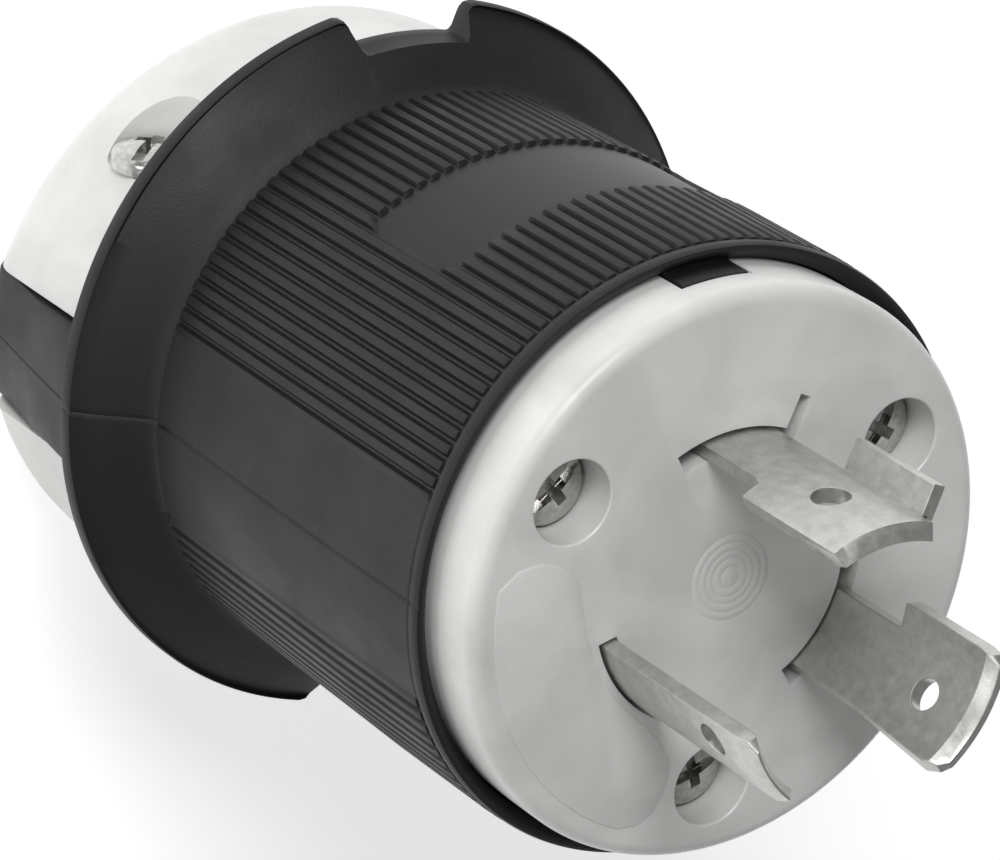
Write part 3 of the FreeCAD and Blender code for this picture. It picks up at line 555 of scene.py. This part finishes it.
def driven_screw(name, head_radius, head_height, shank_radius, shank_length, turn_degrees, matrix,
                 body, node_name):
    """A pan head screw that points along +Z, turned and then brought to its place."""
    outline = [(0, -shank_length), (shank_radius - 0.4, -shank_length), (shank_radius, 0.5 - shank_length)]
    pitch = 0.8
    turns = int((shank_length - 2.0) / pitch)
    for index in range(turns):
        height = -shank_length + 0.6 + index * pitch
        outline += [(shank_radius, height + 0.1), (shank_radius - 0.3, height + 0.4),
                    (shank_radius, height + 0.7)]
    outline += [(shank_radius, -0.05), (shank_radius, 0.0), (head_radius - 0.15, 0.0), (head_radius, 0.15),
                (head_radius, head_height * 0.38)]
    for step in range(1, 7):
        turn = math.radians(90 * step / 6)
        outline.append((head_radius - head_radius * 0.22 * (1 - math.cos(turn)),
                        head_height * (0.38 + 0.34 * math.sin(turn))))
    outline += [(head_radius * 0.55, head_height * 0.9), (head_radius * 0.28, head_height * 0.98),
                (0, head_height)]
    head = bmesh.new()
    disc_form(head, outline, 48)
    settle(head)
    slot = bmesh.new()
    bmesh.ops.create_cube(slot, size=1)
    bmesh.ops.scale(slot, vec=(head_radius * 2.4, head_radius * 0.29, head_height), verts=slot.verts)
    bmesh.ops.translate(slot, vec=(0, 0, head_height * 0.62 + head_height / 2), verts=slot.verts)
    cutters = [slot]
    for arm_turn in (0, 90):
        wing = bmesh.new()
        bmesh.ops.create_cube(wing, size=1)
        bmesh.ops.scale(wing, vec=(head_radius * 1.25, head_radius * 0.3, head_height * 1.2),
                        verts=wing.verts)
        bmesh.ops.translate(wing, vec=(0, 0, head_height * 0.28 + head_height * 0.6), verts=wing.verts)
        for vert in wing.verts:
            if vert.co.z < head_height * 0.5:
                vert.co.x *= 0.42
                vert.co.y *= 0.8
        bmesh.ops.rotate(wing, verts=wing.verts, cent=(0, 0, 0),
                         matrix=Matrix.Rotation(math.radians(arm_turn), 3, "Z"))
        cutters.append(wing)
    screw = from_mesh(cut_away(to_mesh(head), cutters))
    bmesh.ops.rotate(screw, verts=screw.verts, cent=(0, 0, 0),
                     matrix=Matrix.Rotation(math.radians(turn_degrees), 3, "Z"))
    bmesh.ops.transform(screw, matrix=matrix, verts=screw.verts)
    place_piece(name, screw, [plated_screw], body, [node_name])


# Nickel plate on cold-headed steel: smoother than the strip, with small dents and tool
# marks in the recess.
plated_screw, tree, shader = finish("nickel-plated steel screw", Metallic=1.0, Roughness=0.25)
place = node(tree, "TexCoord").outputs["Object"]
marks = node(tree, "TexNoise", {"Vector": place, "Scale": 1500.0, "Detail": 4.0, "Roughness": 0.6})
tone = node(tree, "ValToRGB", {"Fac": marks.outputs["Fac"]})
tone.color_ramp.elements[0].position, tone.color_ramp.elements[0].color = 0.3, srgb("#aaa9a7")
tone.color_ramp.elements[1].position, tone.color_ramp.elements[1].color = 0.7, srgb("#d0cfcd")
tree.links.new(tone.outputs["Color"], shader.inputs["Base Color"])
bump = node(tree, "Bump", {"Height": marks.outputs["Fac"], "Strength": 0.4, "Distance": 0.0001})
tree.links.new(bump.outputs["Normal"], shader.inputs["Normal"])

for side, turn in (("left", 40.0), ("right", 60.0), ("bottom", 20.0)):
    driven_screw(f"assembly_screw_{side}", HEAD_RADIUS, HEAD_HEIGHT, 1.95, 40.5, turn,
                 Matrix.Translation(polar(WELL_CIRCLE, SCREW_ANGLES[side], SCREW_SEAT)),
                 "plug_body", f"face_screw_{side}")

# --------------------------------------------------------------------------- cord clamp
# Two jaws moulded in white nylon slide between the arms and grip the cord. Their outer
# faces are one drum, rounded at the cord end, with open seats for the clamp screws.
JAW_RADIUS, JAW_OFFSET, JAW_ROUND = 34.1, 4.0, 5.4
JAW_LOW, JAW_TOP = 0.3, 21.6
JAW_HALF_WIDTH, JAW_PART, SKIRT = 24.9, 0.5, 7.2
GROOVE_HALF, GROOVE_DEPTH, GROOVE_ROUND = 12.0, 5.6, 3.0
CLAMP_X, CLAMP_Z, CLAMP_SEAT = 21.5, 13.8, 19.3
NUT_TOP, NUT_FLAT = 8.2, 4.0


def block(x_low, x_high, y_low, y_high, z_low, z_high, rounding=0.0):
    """A block between two corners, with its edges rounded."""
    form = bmesh.new()
    bmesh.ops.create_cube(form, size=1)
    bmesh.ops.scale(form, vec=(x_high - x_low, y_high - y_low, z_high - z_low), verts=form.verts)
    bmesh.ops.translate(form, vec=((x_low + x_high) / 2, (y_low + y_high) / 2, (z_low + z_high) / 2),
                        verts=form.verts)
    if rounding:
        bmesh.ops.bevel(form, geom=form.edges[:], offset=rounding, segments=4, profile=0.5,
                        affect="EDGES", material=-1, clamp_overlap=True)
    return form


def lying(form, x, z):
    """Lay a form that was turned about Z along +Y at a clamp screw's place."""
    bmesh.ops.rotate(form, verts=form.verts, cent=(0, 0, 0), matrix=Matrix.Rotation(-math.pi / 2, 3, "X"))
    bmesh.ops.translate(form, vec=(x, 0, z), verts=form.verts)
    return form


def clamp_jaw(name, body, node_name, is_lower):
    """One jaw above the axis, turned over at the end where it is the lower one."""
    drum = [(0, JAW_LOW)]
    for step in range(0, 11):
        turn = math.radians(90 * step / 10)
        drum.append((JAW_RADIUS - JAW_ROUND + JAW_ROUND * math.sin(turn),
                     JAW_LOW + JAW_ROUND - JAW_ROUND * math.cos(turn)))
    drum += [(JAW_RADIUS, JAW_TOP - 0.4), (JAW_RADIUS - 0.4, JAW_TOP), (0, JAW_TOP)]
    jaw = bmesh.new()
    disc_form(jaw, drum, 160)
    settle(jaw)
    bmesh.ops.translate(jaw, vec=(0, -JAW_OFFSET, 0), verts=jaw.verts)
    cut = bmesh.ops.bisect_plane(jaw, geom=jaw.verts[:] + jaw.edges[:] + jaw.faces[:], dist=1e-5,
                                 plane_co=(0, JAW_PART, 0), plane_no=(0, 1, 0), clear_inner=True)
    bmesh.ops.edgenet_fill(jaw, edges=[e for e in cut["geom_cut"] if isinstance(e, bmesh.types.BMEdge)])
    settle(jaw)
    cutters = [block(JAW_HALF_WIDTH, 40, -9, SKIRT, -2, 24, 0.9),
               block(-40, -JAW_HALF_WIDTH, -9, SKIRT, -2, 24, 0.9)]
    groove = block(-GROOVE_HALF, GROOVE_HALF, -8, GROOVE_DEPTH, -4, 26)
    bmesh.ops.bevel(groove, geom=[e for e in groove.edges if all(v.co.y > 5 for v in e.verts)
                                  and abs(e.verts[0].co.x - e.verts[1].co.x) < 1e-6],
                    offset=GROOVE_ROUND, segments=8, profile=0.5, affect="EDGES", material=-1)
    cutters.append(groove)
    for x in (-CLAMP_X, CLAMP_X):
        if is_lower:
            hole = bmesh.new()
            disc_form(hole, [(0, -1), (2.7, -1), (2.7, NUT_TOP + 0.1), (0, NUT_TOP + 0.1)], 32)
            cutters.append(lying(hole, x, CLAMP_Z))
            pocket = bmesh.new()
            bmesh.ops.create_cone(pocket, cap_ends=True, segments=6, radius1=NUT_FLAT / math.cos(math.pi / 6),
                                  radius2=NUT_FLAT / math.cos(math.pi / 6) + 0.25, depth=20,
                                  matrix=Matrix.Translation((0, 0, NUT_TOP + 10)))
            cutters.append(lying(pocket, x, CLAMP_Z))
        else:
            hole = bmesh.new()
            disc_form(hole, [(0, -1), (2.48, -1), (2.48, CLAMP_SEAT), (4.3, CLAMP_SEAT),
                             (4.6, CLAMP_SEAT + 0.3), (4.6, 30), (0, 30)], 48)
            cutters.append(lying(hole, x, CLAMP_Z))
    jaw = from_mesh(cut_away(to_mesh(jaw), cutters))
    for index in (-1, 0, 1):
        middle = (JAW_TOP + JAW_LOW) / 2 + index * 5.2
        tooth = block(-GROOVE_HALF - 0.4, GROOVE_HALF + 0.4, GROOVE_DEPTH - 1.2, GROOVE_DEPTH + 0.5,
                      middle - 1.0, middle + 1.0, 0.35)
        join(jaw, tooth)
    if is_lower:
        bmesh.ops.scale(jaw, vec=(1, -1, 1), verts=jaw.verts)
        bmesh.ops.reverse_faces(jaw, faces=jaw.faces)
    place_piece(name, jaw, [white_nylon], body, [node_name])


clamp_jaw("clamp_jaw_upper", "upper_jaw_body", "upper_jaw", False)
clamp_jaw("clamp_jaw_lower", "lower_jaw_body", "lower_jaw", True)

# The clamp's two screws: plated steel, hung from the upper jaw by their heads.
JAW_SCREW_HEAD, JAW_SCREW_HEAD_HEIGHT, JAW_SCREW_SHANK = 4.1, 2.7, 2.4
for side, x, turn in (("left", -CLAMP_X, 35.0), ("right", CLAMP_X, 75.0)):
    driven_screw(f"jaw_screw_{side}", JAW_SCREW_HEAD, JAW_SCREW_HEAD_HEIGHT, JAW_SCREW_SHANK, 41.5, turn,
                 Matrix.Translation((x, CLAMP_SEAT + 0.08, CLAMP_Z)) @ Matrix.Rotation(-math.pi / 2, 4, "X"),
                 f"clamp_screw_{side}_body", f"clamp_screw_{side}")

# The clamp's nuts are plain hexagons of zinc-plated steel, dulled by their coating, with
# a faint crystal pattern about 0.6 mm across. They keep their CAD form, as does all that
# the closed plug hides from here on: each gets the finish of its real material.
zinc_steel, tree, shader = finish("zinc-plated steel", Metallic=1.0, Roughness=0.4)
place = node(tree, "TexCoord").outputs["Object"]
crystal = node(tree, "TexVoronoi", {"Vector": place, "Scale": 1600.0})
tone = node(tree, "ValToRGB", {"Fac": crystal.outputs["Distance"]})
tone.color_ramp.elements[0].position, tone.color_ramp.elements[0].color = 0.1, srgb("#a9aaab")
tone.color_ramp.elements[1].position, tone.color_ramp.elements[1].color = 0.8, srgb("#c4c5c6")
tree.links.new(tone.outputs["Color"], shader.inputs["Base Color"])
bump = node(tree, "Bump", {"Height": crystal.outputs["Distance"], "Strength": 0.15, "Distance": 0.00004})
tree.links.new(bump.outputs["Normal"], shader.inputs["Normal"])


def clad(material, *names):
    """Give carried-over CAD nodes their real finish."""
    for name in names:
        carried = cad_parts[name]
        carried.data.materials.clear()
        carried.data.materials.append(material)


clad(zinc_steel, "clamp_nut_left", "clamp_nut_right", "ground_clamp_plate", "line_x_clamp_plate",
     "line_y_clamp_plate")

# --------------------------------------------------------------------------- rear body
# The insulating body behind the face: grey glass-filled polyester, pressed, with short
# fibres about 0.5 mm long that show as pale flecks in a matt skin.
filled_polyester, tree, shader = finish("glass-filled polyester", Roughness=0.6)
place = node(tree, "TexCoord").outputs["Object"]
fibre = node(tree, "TexNoise", {"Vector": place, "Scale": 2000.0, "Detail": 3.0, "Distortion": 1.5})
tone = node(tree, "ValToRGB", {"Fac": fibre.outputs["Fac"]})
tone.color_ramp.elements[0].position, tone.color_ramp.elements[0].color = 0.4, srgb("#6d6e6e")
tone.color_ramp.elements[1].position, tone.color_ramp.elements[1].color = 0.72, srgb("#9a9b9b")
tree.links.new(tone.outputs["Color"], shader.inputs["Base Color"])
bump = node(tree, "Bump", {"Height": fibre.outputs["Fac"], "Strength": 0.3, "Distance": 0.00004})
tree.links.new(bump.outputs["Normal"], shader.inputs["Normal"])
clad(filled_polyester, "rear_body")

# --------------------------------------------------------------------- terminals inside
# The line terminals' screws are plain brass and the ground's is dyed green, as wiring
# codes ask. The inserts in the shell's posts are turned brass too, with fine tool lines.
for finish_name, dark, light, nodes in (
        ("turned brass", "#a8874e", "#c9ab6d", ["line_x_terminal_screw", "line_y_terminal_screw",
                                               "screw_insert_left", "screw_insert_right",
                                               "screw_insert_bottom"]),
        ("green-dyed brass", "#2f6b45", "#4c8a5f", ["ground_terminal_screw"])):
    brass, tree, shader = finish(finish_name, Metallic=1.0, Roughness=0.32)
    place = node(tree, "TexCoord").outputs["Object"]
    tooling = node(tree, "TexNoise", {"Vector": place, "Scale": 1800.0, "Detail": 3.0, "Roughness": 0.6})
    tone = node(tree, "ValToRGB", {"Fac": tooling.outputs["Fac"]})
    tone.color_ramp.elements[0].position, tone.color_ramp.elements[0].color = 0.3, srgb(dark)
    tone.color_ramp.elements[1].position, tone.color_ramp.elements[1].color = 0.7, srgb(light)
    tree.links.new(tone.outputs["Color"], shader.inputs["Base Color"])
    bump = node(tree, "Bump", {"Height": tooling.outputs["Fac"], "Strength": 0.25, "Distance": 0.00004})
    tree.links.new(bump.outputs["Normal"], shader.inputs["Normal"])
    clad(brass, *nodes)

# ----------------------------------------------------------------------------- dust seal
# A moulded rubber washer that closes round the cord: matt near-black, with a dusty bloom
# in soft patches a few millimetres across and a fine grain.
seal_rubber, tree, shader = finish("neoprene rubber", Roughness=0.8)
place = node(tree, "TexCoord").outputs["Object"]
bloom = node(tree, "TexNoise", {"Vector": place, "Scale": 260.0, "Detail": 4.0, "Roughness": 0.6})
grit = node(tree, "TexNoise", {"Vector": place, "Scale": 4500.0, "Detail": 2.0})
tone = node(tree, "ValToRGB", {"Fac": bloom.outputs["Fac"]})
tone.color_ramp.elements[0].position, tone.color_ramp.elements[0].color = 0.35, srgb("#1c1c1d")
tone.color_ramp.elements[1].position, tone.color_ramp.elements[1].color = 0.7, srgb("#303031")
tree.links.new(tone.outputs["Color"], shader.inputs["Base Color"])
bump = node(tree, "Bump", {"Height": grit.outputs["Fac"], "Strength": 0.3, "Distance": 0.00004})
tree.links.new(bump.outputs["Normal"], shader.inputs["Normal"])
clad(seal_rubber, "dust_seal")

# -------------------------------------------------------------------------------- stage
# A plain pale floor under the plug's cord end, a bright soft sky and two soft lamps.
floor = bpy.data.objects.new("floor", bpy.data.meshes.new("floor"))
pad = bmesh.new()
bmesh.ops.create_grid(pad, x_segments=1, y_segments=1, size=4.0)
bmesh.ops.translate(pad, vec=(0, 0, cad_low.z), verts=pad.verts)
pad.to_mesh(floor.data)
pad.free()
pale, tree, shader = finish("pale matt floor", Roughness=0.9, Base_Color=srgb("#f4f4f4"),
                            Emission_Color=srgb("#ffffff"), Emission_Strength=0.5)
floor.data.materials.append(pale)
bpy.context.scene.collection.objects.link(floor)

sky = bpy.data.worlds.new("sky")
sky.use_nodes = True
sky.node_tree.nodes["Background"].inputs["Color"].default_value = srgb("#e8e8e8")
sky.node_tree.nodes["Background"].inputs["Strength"].default_value = 0.33
bpy.context.scene.world = sky
# The plain transform keeps the nylon's black and white as deep as they are.
bpy.context.scene.view_settings.view_transform = "Standard"


def soft_lamp(name, place, target, size, power):
    lamp = bpy.data.objects.new(name, bpy.data.lights.new(name, "AREA"))
    lamp.data.shape, lamp.data.size, lamp.data.energy = "DISK", size, power
    lamp.location = place
    lamp.rotation_euler = (Vector(target) - Vector(place)).to_track_quat("-Z", "Y").to_euler()
    bpy.context.scene.collection.objects.link(lamp)


soft_lamp("lamp_above", (-0.5, 1.0, 0.95), (0, 0, 0.05), 0.6, 11.5)
soft_lamp("lamp_left", (-1.0, 0.1, 0.5), (0, 0, 0.05), 0.4, 1.7)
